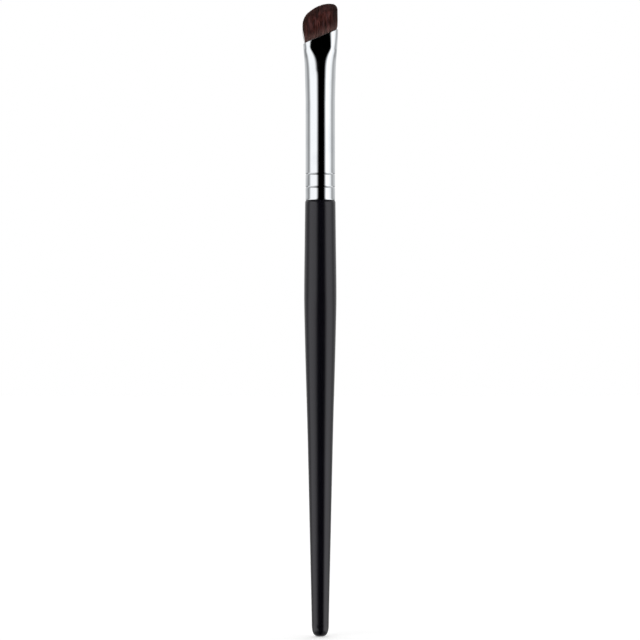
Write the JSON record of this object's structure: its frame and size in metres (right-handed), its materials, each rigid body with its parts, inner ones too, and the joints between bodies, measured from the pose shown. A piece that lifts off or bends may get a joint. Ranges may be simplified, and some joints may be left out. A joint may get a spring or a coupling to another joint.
{
  "type": "angled makeup brush",
  "caption": "Slim angled makeup brush: a tapered gloss black handle, a bright ferrule pressed flat at its slanted mouth, and a dense slanted tuft of brown hair.",
  "frame": {"origin": "tip of the handle's domed foot, on the brush's axis", "axes": "+Z along the handle from its foot to the hair; +X towards the long end of the slanted tuft; the pressed faces of the ferrule look along -Y and +Y"},
  "size_m": [0.0095, 0.0088, 0.17],
  "materials": {
    "lacquered_wood": "gloss black lacquer",
    "plated_metal": "polished nickel plating",
    "hair": "dark reddish brown hair",
    "cast_resin": "amber cast resin",
    "waxed_thread": "waxed thread",
    "cured_adhesive": "cured adhesive"
  },
  "bodies": {
    "root": {"handle": "lacquered_wood", "ferrule": "plated_metal", "bristle_tuft": "hair", "root_plug": "cast_resin", "tie_thread": "waxed_thread", "tenon_glue": "cured_adhesive"}
  },
  "joints": []
}
